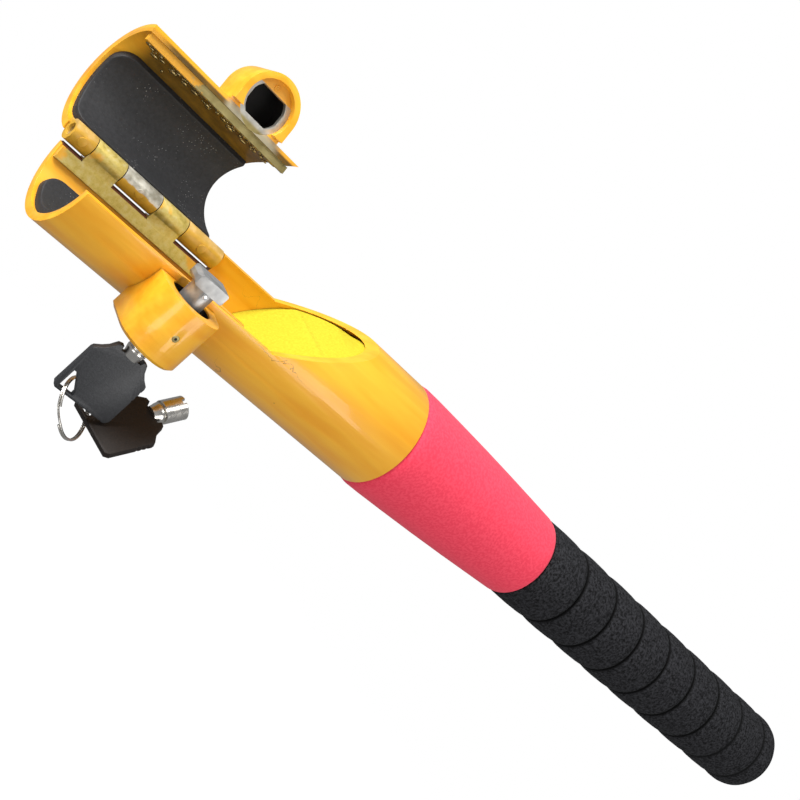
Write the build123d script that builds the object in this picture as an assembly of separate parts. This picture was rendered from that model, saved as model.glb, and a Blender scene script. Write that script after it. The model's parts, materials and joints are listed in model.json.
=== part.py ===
from build123d import *
import math
import os

# Steering wheel lock: a tube whose front half is a hinged jaw, locked by a turning T-bolt.
# All sizes in mm. +X runs from the jaw to the grip, +Z is the normal of the jaw's parting
# plane, +Y is the hinge side. The origin is on the tube axis, midway along the jaw.

# Body tube
TUBE_R = 24.15
TUBE_WALL = 3.0
BORE_R = TUBE_R - TUBE_WALL
JAW_FRONT = -38.0
TUBE_END = 128.5
PARTING_HALF_GAP = 0.25
SCARF_X = 54.0
SCARF_SLOPE = 0.55

# Hinge
HINGE_Y = 23.3
HINGE_Z = 2.25
KNUCKLE_R = 4.2
KNUCKLE_CLEAR_R = 4.65
HINGE_PIN_R = 2.5
HINGE_RUN_FIT = 0.05
UPPER_KNUCKLES = [(-38.8, -29.2), (-14.5, 3.1), (17.4, 35.9)]
LOWER_KNUCKLES = [(-28.8, -14.9), (3.5, 17.0)]
KNUCKLE_WELD_R = 1.7
SLOT_BOTTOM_Z = -3.1
HINGE_WALL_TOP_Z = 6.2
LEAF_THICK = 1.6
OPEN_ANGLE = 108.5

# Rubber pads of the rim channel
PAD_THICK = 3.0
CHANNEL_R = BORE_R - PAD_THICK
LOWER_PAD_X = (-36.5, 36.0)
LOWER_PAD_ANGLES = (208.0, 322.0)
UPPER_PAD_X = (-38.0, 36.6)
UPPER_PAD_ANGLES = (23.5, 134.0)

# Upper jaw
UPPER_JAW_X = (-39.4, 38.6)
UPPER_SHIFT_Y = 1.0
SCOOP_R = 26.5
SCOOP_X = 51.0
STRIP_Z = (1.2, 2.9)
STRIP_X = (-38.4, 35.0)
STRIP_INNER_Y = -17.2

# Lock
LOCK_X = 12.0
LOCK_Y = -30.5
BOSS_R = 13.0
BOSS_TOP_Z = -2.8
BOSS_BOTTOM_Z = -25.0
BOSS_WEB_Y = -17.5
BARREL_R = 8.5
BARREL_TOP_Z = -7.0
KEYWAY_R = 4.6
SPINDLE_FLANGE_R = 6.6
SPINDLE_FLANGE_Z = (-18.3, -14.4)
SPINDLE_POST_R = 3.3
SPINDLE_SHAFT_R = 3.0
SLEEVE_Z = (-14.3, -9.3)
RETAINING_PIN_Z = -13.3
PIN_COUNT = 7
PIN_PITCH_R = 4.0
PIN_R = 0.7
BOLT_R = 4.8
BOLT_HEAD_SIZE = (14.6, 9.0)
BOLT_HEAD_R = 7.85
BOLT_HEAD_Z = (2.9, 7.4)
BOLT_PIN_R = 0.9
BOLT_PIN_Z = 1.8

# Catch on the upper jaw
CATCH_RIM_Z = -2.3
CATCH_TOP_Z = 15.5
CATCH_WEB_Y = -14.0
CATCH_CAVITY_R = 10.5
CATCH_CAVITY_Z = 12.0
KEEPER_Z = (0.6, 2.5)
KEEPER_HOLE = (16.0, 12.4)
KEEPER_HOLE_Y = -30.2
KEEPER_HOLE_R = 8.3

# Handle
HANDLE_R = 12.7
HANDLE_WALL = 1.6
HANDLE_X = (118.5, 436.0)
ADAPTER_X = (119.0, 126.5)
RED_X = (128.5, 229.1)
RED_R = (24.4, 20.2)
GRIP_X = (229.1, 446.0)
GRIP_R = 20.0
GRIP_END_R = 20.0
GROOVE_X = 256.8
GROOVE_PITCH = 24.73
GROOVE_COUNT = 8
GROOVE_DEPTH = 1.5
GROOVE_HALF_WIDTH = 2.2
PLUG_FOAM_X = (41.0, 118.0)
PLUG_FACE_X = 63.3
PLUG_FACE_SLOPE = 1.03

# Keys
KEY_SHANK_R = 4.4
KEY_SHANK_BORE_R = 3.4
KEY_SHANK_BORE = 9.0
KEY_REACH = 11.2
KEY_ROOT = 4.4
KEY_TANG = (5.0, 1.4)
BOW_TOP_Z = -29.6
BOW_THICK = 2.6
BOW_HOLE = [(-10.9, 17.4), (-9.4, 17.4), (-4.6, 23.6), (-4.6, 24.9), (-10.9, 24.9)]
SPARE_ORIGIN = (40.03, -22.74, -44.5)
SPARE_TURN = (-29.6, 45.8, -47.9)

# Split ring
RING_R = 10.79
RING_CENTRE = (12.22, -30.36, -58.21)
RING_NORMAL = (-0.486, 0.554, -0.676)
RING_WIRE = (1.0, 1.6)

HINGE_AXIS = Axis((0, HINGE_Y, HINGE_Z), (1, 0, 0))


def rod_x(x0, x1, r, y=0.0, z=0.0):
    return Pos((x0 + x1) / 2, y, z) * Rot(0, 90, 0) * Cylinder(r, x1 - x0)


def rod_y(y0, y1, r, x, z):
    return Pos(x, (y0 + y1) / 2, z) * Rot(90, 0, 0) * Cylinder(r, y1 - y0)


def rod_z(z0, z1, r, x=LOCK_X, y=LOCK_Y):
    return Pos(x, y, (z0 + z1) / 2) * Cylinder(r, z1 - z0)


def block(x0, x1, y0, y1, z0, z1):
    return Pos((x0 + x1) / 2, (y0 + y1) / 2, (z0 + z1) / 2) * Box(x1 - x0, y1 - y0, z1 - z0)


def sector(x0, x1, r_in, r_out, a0, a1):
    # A curved strip about the tube axis, angles counted from +Y toward +Z.
    section = Pos((x0 + x1) / 2, (r_in + r_out) / 2) * Rectangle(x1 - x0, r_out - r_in)
    return revolve(section, Axis.X, a1 - a0).rotate(Axis.X, a0)


def side_prism(points, y0, y1):
    # A prism with its outline in the XZ plane.
    face = make_face(Polyline(points, close=True))
    return Pos(0, y1, 0) * extrude(Plane.XZ * face, y1 - y0)


def above_line(x_at_zero, slope, reach=60.0):
    # The half space above a line that climbs from z = 0 toward the grip.
    low = (x_at_zero - reach / slope, -reach)
    high = (x_at_zero + reach / slope, reach)
    return side_prism([low, high, (low[0] - 40, reach), (low[0] - 40, -reach)], -40, 40)


def opened(shape):
    return shape.rotate(HINGE_AXIS, -OPEN_ANGLE)


def hinge_wall():
    # The far wall keeps this height behind the hinge, up to where the scarf starts.
    return block(0, 80, 5, 40, -1, HINGE_WALL_TOP_Z)


def make_body_tube():
    tube = rod_x(JAW_FRONT, TUBE_END, TUBE_R) - rod_x(JAW_FRONT - 1, TUBE_END + 1, BORE_R)
    hinge_end = UPPER_KNUCKLES[-1][1]
    tube -= block(JAW_FRONT - 1, hinge_end + 0.4, -40, 40, -PARTING_HALF_GAP, 40)
    tube -= block(hinge_end, SCARF_X, -40, 0, -PARTING_HALF_GAP, 40)
    tube -= block(hinge_end, 80, -1, 40, HINGE_WALL_TOP_Z, 40) & above_line(SCARF_X, SCARF_SLOPE)
    tube -= above_line(SCARF_X, SCARF_SLOPE) & block(SCARF_X - 1, 110, -40, 40, 0, 40) - hinge_wall()
    tube -= rod_x(JAW_FRONT - 1, hinge_end + 0.5, KNUCKLE_CLEAR_R, HINGE_Y, HINGE_Z)
    for x0, x1 in UPPER_KNUCKLES:
        tube -= block(x0 - 0.3, x1 + 0.3, 15, 30, SLOT_BOTTOM_Z, 5)
    tube -= rod_z(BOSS_BOTTOM_Z - 1, 1, BARREL_R)
    return tube


def make_hinge_leaf():
    hinge_end = UPPER_KNUCKLES[-1][1]
    leaf = sector(JAW_FRONT + 0.5, hinge_end + 0.3, BORE_R - LEAF_THICK, BORE_R, -23, 3)
    for x0, x1 in UPPER_KNUCKLES:
        leaf -= block(x0 - 0.3, x1 + 0.3, 10, 30, SLOT_BOTTOM_Z, 8)
    for x0, x1 in LOWER_KNUCKLES:
        barrel = rod_x(x0, x1, KNUCKLE_R, HINGE_Y, HINGE_Z)
        barrel += block(x0, x1, BORE_R - LEAF_THICK, HINGE_Y, -1.2, HINGE_Z)
        leaf += barrel
    leaf -= rod_x(JAW_FRONT - 1, hinge_end + 1, HINGE_PIN_R + HINGE_RUN_FIT, HINGE_Y, HINGE_Z)
    return leaf


def closed_knuckle(x0, x1):
    # One knuckle of the upper leaf, with its tab lying against the inside of the shell.
    barrel = rod_x(x0, x1, KNUCKLE_R, HINGE_Y, HINGE_Z)
    tab = sector(x0, x1, BORE_R - LEAF_THICK, BORE_R, 6, 22)
    barrel += Pos(0, UPPER_SHIFT_Y, 0) * tab
    barrel += block(x0, x1, BORE_R - LEAF_THICK + UPPER_SHIFT_Y, HINGE_Y - 0.5, HINGE_Z, HINGE_Z + 3.4)
    return barrel - rod_x(x0 - 1, x1 + 1, HINGE_PIN_R, HINGE_Y, HINGE_Z)


def weld_plug(x0, x1):
    # The plug weld that fixes a knuckle to the pin, on the side that faces the channel.
    plug = rod_y(HINGE_Y - KNUCKLE_R - 0.25, HINGE_Y, KNUCKLE_WELD_R, (x0 + x1) / 2, HINGE_Z)
    return plug - rod_x(x0, x1, HINGE_PIN_R, HINGE_Y, HINGE_Z)


def make_upper_knuckles():
    return Compound(children=[opened(closed_knuckle(*k)) - weld_plug(*k) for k in UPPER_KNUCKLES])


def make_knuckle_welds():
    return Compound(children=[weld_plug(*k) for k in UPPER_KNUCKLES])


def make_hinge_pin():
    return rod_x(JAW_FRONT + 0.3, UPPER_KNUCKLES[-1][1] - 0.3, HINGE_PIN_R, HINGE_Y, HINGE_Z)


def make_pad(x_range, angles):
    return sector(x_range[0], x_range[1], CHANNEL_R, BORE_R, angles[0], angles[1])


def scoop():
    # The rounded bite at the inner end of the upper jaw, which clears the scarfed tube.
    return rod_z(-1, 40, SCOOP_R, SCOOP_X, 0)


def make_upper_shell():
    x0, x1 = UPPER_JAW_X
    hinge_end = UPPER_KNUCKLES[-1][1]
    shell = Pos(0, UPPER_SHIFT_Y, 0) * sector(x0, x1, BORE_R, TUBE_R, 0, 180)
    shell -= block(x0 - 1, x1 + 1, -40, 40, -1, PARTING_HALF_GAP)
    shell -= block(hinge_end + 0.1, x1 + 1, 10, 40, -1, HINGE_WALL_TOP_Z + 0.5)
    shell -= scoop()
    shell -= rod_x(x0 - 1, x1 + 1, KNUCKLE_CLEAR_R, HINGE_Y, HINGE_Z)
    for k in UPPER_KNUCKLES:
        shell -= closed_knuckle(*k)
    shell -= rod_z(-5, CATCH_CAVITY_Z, CATCH_CAVITY_R)
    return opened(shell)


def make_lower_pad():
    return make_pad(LOWER_PAD_X, LOWER_PAD_ANGLES)


def make_upper_pad():
    pad = Pos(0, UPPER_SHIFT_Y, 0) * make_pad(UPPER_PAD_X, UPPER_PAD_ANGLES)
    for x0, x1 in UPPER_KNUCKLES:
        pad -= rod_x(x0, x1, KNUCKLE_R + 0.3, HINGE_Y, HINGE_Z)
    return opened(pad - scoop())


def lobe(z0, z1, r, web_y):
    # The D-shaped outline shared by the lock boss and the catch: round outside, straight
    # sides running back to the tube.
    return rod_z(z0, z1, r) + block(LOCK_X - r, LOCK_X + r, LOCK_Y, web_y, z0, z1)


def make_lock_boss():
    boss = lobe(BOSS_BOTTOM_Z, BOSS_TOP_Z, BOSS_R, BOSS_WEB_Y)
    boss = chamfer(boss.faces().sort_by(Axis.Z)[0].edges(), 1.2)
    boss -= rod_x(JAW_FRONT, TUBE_END, TUBE_R)
    boss -= rod_z(BOSS_BOTTOM_Z - 1, 1, BARREL_R)
    boss -= retaining_pin()
    return boss


def retaining_pin():
    return rod_y(LOCK_Y - BOSS_R - 0.1, LOCK_Y - SPINDLE_FLANGE_R, 1.3, LOCK_X - 0.6,
                 RETAINING_PIN_Z)


def make_lock_barrel():
    barrel = rod_z(BOSS_BOTTOM_Z + 0.2, BARREL_TOP_Z, BARREL_R)
    barrel -= rod_z(BOSS_BOTTOM_Z - 1, 0, KEYWAY_R)
    barrel -= rod_z(SPINDLE_FLANGE_Z[0] - 0.05, 0, SPINDLE_FLANGE_R)
    return barrel - retaining_pin()


def pin_ring(z0, z1, r):
    group = []
    for i in range(PIN_COUNT):
        a = 2 * math.pi * (i + 0.5) / PIN_COUNT
        x = LOCK_X + PIN_PITCH_R * math.cos(a)
        group.append(rod_z(z0, z1, r, x, LOCK_Y + PIN_PITCH_R * math.sin(a)))
    return group


def make_pin_sleeve():
    sleeve = rod_z(SLEEVE_Z[0], SLEEVE_Z[1], SPINDLE_FLANGE_R)
    sleeve -= rod_z(SLEEVE_Z[0] - 1, SLEEVE_Z[1] + 1, SPINDLE_SHAFT_R + 0.05)
    for hole in pin_ring(SLEEVE_Z[0] - 1, SLEEVE_Z[1] - 0.4, PIN_R):
        sleeve -= hole
    return sleeve - retaining_pin()


def make_driver_pins():
    return Compound(children=pin_ring(SLEEVE_Z[0], SLEEVE_Z[0] + 2.0, PIN_R))


def make_pin_springs():
    return Compound(children=pin_ring(SLEEVE_Z[0] + 2.0, SLEEVE_Z[1] - 0.4, PIN_R))


def make_key_pins():
    return Compound(children=pin_ring(SPINDLE_FLANGE_Z[0], SPINDLE_FLANGE_Z[1], PIN_R))


def make_lock_spindle():
    spindle = rod_z(SPINDLE_FLANGE_Z[0], SPINDLE_FLANGE_Z[1], SPINDLE_FLANGE_R - 0.05)
    for hole in pin_ring(SPINDLE_FLANGE_Z[0] - 1, SPINDLE_FLANGE_Z[1] + 1, PIN_R):
        spindle -= hole
    spindle += rod_z(BOSS_BOTTOM_Z + 0.6, SPINDLE_FLANGE_Z[0], SPINDLE_POST_R)
    spindle += rod_z(SPINDLE_FLANGE_Z[1], 0.0, SPINDLE_SHAFT_R)
    return spindle


def bolt_pin():
    return rod_y(LOCK_Y - BOLT_R, LOCK_Y + BOLT_R, BOLT_PIN_R, LOCK_X, BOLT_PIN_Z)


def make_t_bolt():
    length, width = BOLT_HEAD_SIZE
    head = Pos(LOCK_X, LOCK_Y, sum(BOLT_HEAD_Z) / 2)
    head *= Box(length, width, BOLT_HEAD_Z[1] - BOLT_HEAD_Z[0])
    head = chamfer(head.edges().filter_by(Axis.Y), 1.4)
    head &= rod_z(BOLT_HEAD_Z[0], BOLT_HEAD_Z[1], BOLT_HEAD_R)
    bolt = rod_z(BARREL_TOP_Z + 0.15, BOLT_HEAD_Z[0], BOLT_R) + head
    bolt -= rod_z(BARREL_TOP_Z - 2, 0.0, SPINDLE_SHAFT_R)
    return bolt - bolt_pin()


def make_catch_boss():
    boss = lobe(CATCH_RIM_Z, CATCH_TOP_Z, BOSS_R, CATCH_WEB_Y)
    boss = chamfer(boss.faces().sort_by(Axis.Z)[-1].edges(), 2.5)
    boss -= rod_x(JAW_FRONT - 5, TUBE_END, TUBE_R, UPPER_SHIFT_Y)
    boss -= rod_x(JAW_FRONT, TUBE_END, TUBE_R + 0.25) & block(-40, 80, -40, 0, -10, PARTING_HALF_GAP)
    boss -= rod_z(CATCH_RIM_Z - 1, CATCH_CAVITY_Z, CATCH_CAVITY_R)
    return opened(boss)


def keeper_hole():
    length, width = KEEPER_HOLE
    slot = Pos(LOCK_X, KEEPER_HOLE_Y, 0) * Box(length, width, 10)
    return slot & rod_z(-5, 5, KEEPER_HOLE_R)


def make_keeper_plate():
    strip = block(STRIP_X[0], STRIP_X[1], -BORE_R, STRIP_INNER_Y, STRIP_Z[0], STRIP_Z[1])
    strip &= rod_x(STRIP_X[0], STRIP_X[1], BORE_R, UPPER_SHIFT_Y)
    strip -= rod_z(KEEPER_Z[1], 5, CATCH_CAVITY_R)
    plate = rod_z(KEEPER_Z[0], KEEPER_Z[1], CATCH_CAVITY_R)
    return opened(strip + plate - keeper_hole())


def make_wall_lip():
    lip = sector(22.3, 39.0, BORE_R - 2.2, BORE_R, 180, 196)
    lip += block(22.3, 39.0, -BORE_R, -BORE_R + 2.2, -1.0, 0.1)
    return lip & rod_x(20, 40, BORE_R)


def make_mouth_plug():
    plug = rod_x(PLUG_FOAM_X[0], PLUG_FOAM_X[1], BORE_R)
    plug -= above_line(PLUG_FACE_X, PLUG_FACE_SLOPE)
    return plug - above_line(SCARF_X + 1.2, SCARF_SLOPE)


def make_handle_tube():
    x0, x1 = HANDLE_X
    return rod_x(x0, x1, HANDLE_R) - rod_x(x0 - 1, x1 + 1, HANDLE_R - HANDLE_WALL)


def make_tube_adapter():
    x0, x1 = ADAPTER_X
    return rod_x(x0, x1, BORE_R) - rod_x(x0 - 1, x1 + 1, HANDLE_R)


def revolved_about_x(points):
    return revolve(make_face(Polyline(points, close=True)), Axis.X, 360)


def make_red_sleeve():
    (x0, x1), (r0, r1) = RED_X, RED_R
    outline = [(x0, HANDLE_R), (x0, r0 - 0.6), (x0 + 0.6, r0), ((x0 + x1) / 2, (r0 + r1) / 2 + 0.7),
               (x1, r1), (x1, HANDLE_R)]
    return revolved_about_x(outline)


def make_grip_foam():
    x0, x1 = GRIP_X
    outline = [(x0, HANDLE_R), (x0, GRIP_R)]
    for i in range(GROOVE_COUNT):
        xg = GROOVE_X + i * GROOVE_PITCH
        r = GRIP_R + (GRIP_END_R - GRIP_R) * (xg - x0) / (x1 - x0)
        outline += [(xg - GROOVE_HALF_WIDTH, r), (xg, r - GROOVE_DEPTH), (xg + GROOVE_HALF_WIDTH, r)]
    outline += [(x1 - 6, GRIP_END_R), (x1 - 2, GRIP_END_R - 2.2), (x1, GRIP_END_R - 6.5), (x1, 0)]
    outline += [(HANDLE_X[1], 0), (HANDLE_X[1], HANDLE_R)]
    return revolved_about_x(outline)


def bow_outline():
    # Right half from the shank down, then mirrored: concave shoulder, straight side.
    right = [(4.5, 1.6), (4.9, 0.0), (6.6, 0.4), (8.2, 3.2), (10.0, 5.0), (12.3, 6.6), (12.7, 7.6),
             (12.7, 24.6), (11.5, 26.2)]
    return right + [(-u, v) for u, v in reversed(right)]


def make_bow():
    # Built with the top of the bow at the origin, the blade pointing along +Z.
    half = BOW_THICK / 2
    bow = side_prism([(u, -v) for u, v in bow_outline()], -half, half)
    hole = side_prism([(u, -v) for u, v in BOW_HOLE], -5, 5)
    return bow - hole - key_tang()


def key_tang():
    # The flat tang that the bow is moulded around.
    width, thick = KEY_TANG
    return block(-width / 2, width / 2, -thick / 2, thick / 2, -1.6 - KEY_ROOT, -1.6)


def make_shank():
    shank = Pos(0, 0, (KEY_REACH - 1.6) / 2) * Cylinder(KEY_SHANK_R, KEY_REACH + 1.6)
    shank += key_tang()
    shank -= Pos(0, 0, KEY_REACH - KEY_SHANK_BORE / 2) * Cylinder(KEY_SHANK_BORE_R, KEY_SHANK_BORE)
    notch = Pos(0, -KEY_SHANK_R, KEY_REACH - 0.6) * Box(1.6, 2.4, 1.4)
    return shank - notch


def on_lock(shape):
    return Pos(LOCK_X, LOCK_Y, BOW_TOP_Z) * shape


def on_ring(shape):
    return Pos(*SPARE_ORIGIN) * Rot(*SPARE_TURN) * shape


def make_split_ring():
    section = Ellipse(RING_WIRE[0] / 2, RING_WIRE[1] / 2)
    torus = revolve(Plane.XZ * Pos(RING_R, 0) * section, Axis.Z, 360)
    return Plane(origin=RING_CENTRE, z_dir=RING_NORMAL) * torus


PARTS = {
    "body_tube": make_body_tube,
    "hinge_leaf": make_hinge_leaf,
    "lower_pad": make_lower_pad,
    "wall_lip": make_wall_lip,
    "mouth_plug": make_mouth_plug,
    "lock_boss": make_lock_boss,
    "lock_barrel": make_lock_barrel,
    "barrel_pin": retaining_pin,
    "pin_sleeve": make_pin_sleeve,
    "driver_pins": make_driver_pins,
    "pin_springs": make_pin_springs,
    "tube_adapter": make_tube_adapter,
    "handle_tube": make_handle_tube,
    "red_sleeve": make_red_sleeve,
    "grip_foam": make_grip_foam,
    "upper_shell": make_upper_shell,
    "upper_knuckles": make_upper_knuckles,
    "knuckle_welds": make_knuckle_welds,
    "hinge_pin": make_hinge_pin,
    "upper_pad": make_upper_pad,
    "catch_boss": make_catch_boss,
    "keeper_plate": make_keeper_plate,
    "lock_spindle": make_lock_spindle,
    "key_pins": make_key_pins,
    "t_bolt": make_t_bolt,
    "bolt_pin": bolt_pin,
    "key_shank": lambda: on_lock(make_shank()),
    "key_bow": lambda: on_lock(make_bow()),
    "split_ring": make_split_ring,
    "spare_shank": lambda: on_ring(make_shank()),
    "spare_bow": lambda: on_ring(make_bow()),
}

os.makedirs("parts", exist_ok=True)
for name, make in PARTS.items():
    export_step(make(), os.path.join("parts", name + ".step"))
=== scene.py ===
import json
import math
import random

import bmesh
import bpy
from mathutils import Matrix, Vector


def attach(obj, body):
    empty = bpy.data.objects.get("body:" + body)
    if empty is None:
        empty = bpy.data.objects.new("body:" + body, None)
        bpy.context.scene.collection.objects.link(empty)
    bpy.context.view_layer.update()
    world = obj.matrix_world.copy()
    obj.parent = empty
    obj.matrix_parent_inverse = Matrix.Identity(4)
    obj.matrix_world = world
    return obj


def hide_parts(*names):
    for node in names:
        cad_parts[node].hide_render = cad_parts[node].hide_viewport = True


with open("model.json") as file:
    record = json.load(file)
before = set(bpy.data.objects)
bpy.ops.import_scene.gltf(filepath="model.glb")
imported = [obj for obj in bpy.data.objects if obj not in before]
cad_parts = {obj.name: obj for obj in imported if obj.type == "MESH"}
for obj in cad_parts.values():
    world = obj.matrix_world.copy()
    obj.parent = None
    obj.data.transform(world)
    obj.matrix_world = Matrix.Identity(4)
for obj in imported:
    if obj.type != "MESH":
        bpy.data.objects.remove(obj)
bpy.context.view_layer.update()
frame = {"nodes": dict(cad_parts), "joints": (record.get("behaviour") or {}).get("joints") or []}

# Camera. A long lens that looks down on the lock from the lock side, rolled so that the handle
# runs from the upper left to the lower right.
CAMERA_RIGHT = Vector((0.58943, -0.31236, 0.74499))
CAMERA_UP = Vector((-0.54164, 0.53139, 0.65135))
CAMERA_BACK = Vector((-0.59933, -0.78744, 0.14403))
CAMERA_AT = Vector((-0.233294, -0.469694, 0.100349))
camera_data = bpy.data.cameras.new("camera")
camera_data.lens = 68.436
camera_data.sensor_width = 36.0
camera = bpy.data.objects.new("camera", camera_data)
axes = Matrix((CAMERA_RIGHT, CAMERA_UP, CAMERA_BACK)).transposed()
camera.matrix_world = Matrix.Translation(CAMERA_AT) @ axes.to_4x4()
bpy.context.scene.collection.objects.link(camera)
bpy.context.scene.camera = camera

# Studio. A white room with one strong soft light above and weak ones beside, in front and low
# down. A round of white paper lies well below the lock and fades out before its edge.
LIT_POINT = Vector((0.12, 0.0, 0.0))
LAMP_DISTANCE = 0.9


def linear(hex_colour):
    channels = [int(hex_colour[i:i + 2], 16) / 255 for i in (1, 3, 5)]
    return [c / 12.92 if c <= 0.04045 else ((c + 0.055) / 1.055) ** 2.4 for c in channels] + [1.0]


def add_node(material, kind, settings=None, links=None):
    # Adds one node, sets its properties or input values, and links its inputs.
    node = material.node_tree.nodes.new(kind)
    for key, value in (settings or {}).items():
        if isinstance(key, str) and hasattr(node, key):
            setattr(node, key, value)
        else:
            node.inputs[key].default_value = value
    for key, source in (links or {}).items():
        material.node_tree.links.new(source, node.inputs[key])
    return node


def material_named(name, base, roughness, metallic=0.0, extra=None):
    # Makes a material and sets the constant inputs of its shader.
    made = bpy.data.materials.new(name)
    made.use_nodes = True
    inputs = made.node_tree.nodes["Principled BSDF"].inputs
    values = {"Base Color": linear(base), "Roughness": roughness, "Metallic": metallic}
    for key, value in (values | (extra or {})).items():
        inputs[key].default_value = value
    return made


def feed(material, input_name, source):
    # Links a node's output to an input of the material's shader.
    shader = material.node_tree.nodes["Principled BSDF"]
    material.node_tree.links.new(source, shader.inputs[input_name])


def mixed(material, share, first, second):
    # Mixes two colours by a share. Each is a hex colour or the output of another node.
    colours = {1: first, 2: second}
    fixed = {i: linear(c) for i, c in colours.items() if isinstance(c, str)}
    sources = {i: c for i, c in colours.items() if i not in fixed}
    return add_node(material, "ShaderNodeMixRGB", fixed, {0: share, **sources}).outputs[0]


def joined(material, operation, *terms):
    # One step of arithmetic. Each term is a number or the output of another node.
    numbers = {i: t for i, t in enumerate(terms) if isinstance(t, (int, float))}
    sources = {i: t for i, t in enumerate(terms) if i not in numbers}
    return add_node(material, "ShaderNodeMath", {"operation": operation, **numbers},
                    sources).outputs[0]


def band(material, value, low, high, start=0.0, end=1.0, curve="SMOOTHSTEP"):
    # Goes from start, where the value is low, to end, where it is high.
    return add_node(material, "ShaderNodeMapRange",
                    {"interpolation_type": curve, "From Min": low, "From Max": high,
                     "To Min": start, "To Max": end}, {0: value}).outputs[0]


def soft_light(name, direction, size, power):
    light = bpy.data.lights.new(name, "AREA")
    light.size = size
    light.energy = power
    lamp = bpy.data.objects.new(name, light)
    toward = Vector(direction).normalized()
    lamp.matrix_world = toward.to_track_quat("Z", "Y").to_matrix().to_4x4()
    lamp.location = LIT_POINT + toward * LAMP_DISTANCE
    bpy.context.scene.collection.objects.link(lamp)


soft_light("key", CAMERA_UP * 0.95 + CAMERA_BACK * 0.6 + CAMERA_RIGHT * 0.1, 0.5, 12.0)
soft_light("side", CAMERA_RIGHT * 1.0 + CAMERA_BACK * 0.5 + CAMERA_UP * 0.35, 0.25, 1.6)
soft_light("front", CAMERA_BACK * 1.0 - CAMERA_RIGHT * 0.35, 0.3, 1.1)
soft_light("table", -CAMERA_UP * 0.8 + CAMERA_RIGHT * 0.6 + CAMERA_BACK * 0.6, 0.5, 2.8)
world = bpy.data.worlds.new("white_room")
bpy.context.scene.world = world
world.use_nodes = True
seen = add_node(world, "ShaderNodeLightPath").outputs
room = mixed(world, seen["Is Glossy Ray"], "#A2A3A5", "#8A8B8D")
room_and_backdrop = mixed(world, seen["Is Camera Ray"], room, "#FFFFFF")
world.node_tree.links.new(room_and_backdrop, world.node_tree.nodes["Background"].inputs["Color"])
bpy.context.scene.view_settings.view_transform = "Standard"

floor_mesh = bmesh.new()
bmesh.ops.create_circle(floor_mesh, cap_ends=True, segments=96, radius=1.2)
bmesh.ops.translate(floor_mesh, verts=floor_mesh.verts, vec=(0.15, 0.0, -0.32))
floor_data = bpy.data.meshes.new("floor")
floor_mesh.to_mesh(floor_data)
floor = bpy.data.objects.new("floor", floor_data)
bpy.context.scene.collection.objects.link(floor)
# Matt white paper: it glows a little, so that no shadow or edge shows, and is clear from below.
paper = material_named("matt_white_paper", "#F6F6F6", 0.9, extra={
    "Emission Color": linear("#FFFFFF"), "Emission Strength": 0.55})
paper_place = add_node(paper, "ShaderNodeTexCoord").outputs["Object"]
from_centre = add_node(paper, "ShaderNodeVectorMath", {"operation": "LENGTH"},
                       {0: paper_place}).outputs["Value"]
from_below = add_node(paper, "ShaderNodeNewGeometry").outputs["Backfacing"]
feed(paper, "Alpha", joined(paper, "MULTIPLY",
                            band(paper, from_centre, 0.35, 1.0, 0.6, 0.0, "LINEAR"),
                            joined(paper, "SUBTRACT", 1.0, from_below)))
floor_data.materials.append(paper)
floor.visible_diffuse = False
floor.visible_glossy = False

# Body tube and the painted parts welded to it. Cut and drilled 1 1/2 inch steel pipe with a cast
# lock housing, sprayed with one thick coat of yellow-orange enamel that rounds every edge.
MM = 0.001


def dress(node_name, material, edge_width=0.5, angle=28):
    # Gives a CAD node its material and rounds its edges, without touching its own mesh.
    node = frame["nodes"][node_name]
    node.data.materials.clear()
    node.data.materials.append(material)
    for polygon in node.data.polygons:
        polygon.material_index = 0
        polygon.use_smooth = True
    weld = node.modifiers.new("weld", "WELD")
    weld.merge_threshold = 0.004 * MM
    flat = node.modifiers.new("flatten", "DECIMATE")
    flat.decimate_type = "DISSOLVE"
    flat.angle_limit = math.radians(0.6)
    rounding = node.modifiers.new("rounded_edges", "BEVEL")
    rounding.width = edge_width * MM
    rounding.segments = 3
    rounding.limit_method = "ANGLE"
    rounding.angle_limit = math.radians(angle)
    rounding.use_clamp_overlap = True
    rounding.harden_normals = True
    return node


def noise(material, scale, detail, place=None, roughness=0.5):
    # Noise over the piece's own coordinates, or over a vector made from them.
    if place is None:
        place = add_node(material, "ShaderNodeTexCoord").outputs["Object"]
    return add_node(material, "ShaderNodeTexNoise",
                    {"Scale": scale, "Detail": detail, "Roughness": roughness},
                    {"Vector": place}).outputs["Fac"]


def bumped(material, height, strength, distance, under=None):
    # Raises the surface, over an earlier bump if that is given.
    links = {"Height": height} if under is None else {"Height": height, "Normal": under}
    bump = add_node(material, "ShaderNodeBump", {"Strength": strength, "Distance": distance},
                    links).outputs[0]
    feed(material, "Normal", bump)
    return bump


def painted_corner_shade(material, reach, low, high, share, curve="SMOOTHSTEP"):
    # How much painted shade there is: the full share deep in a corner, none in the open.
    shade = add_node(material, "ShaderNodeAmbientOcclusion", {"samples": 6, "Distance": reach})
    return band(material, shade.outputs["AO"], low, high, share, 0.0, curve)
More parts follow.
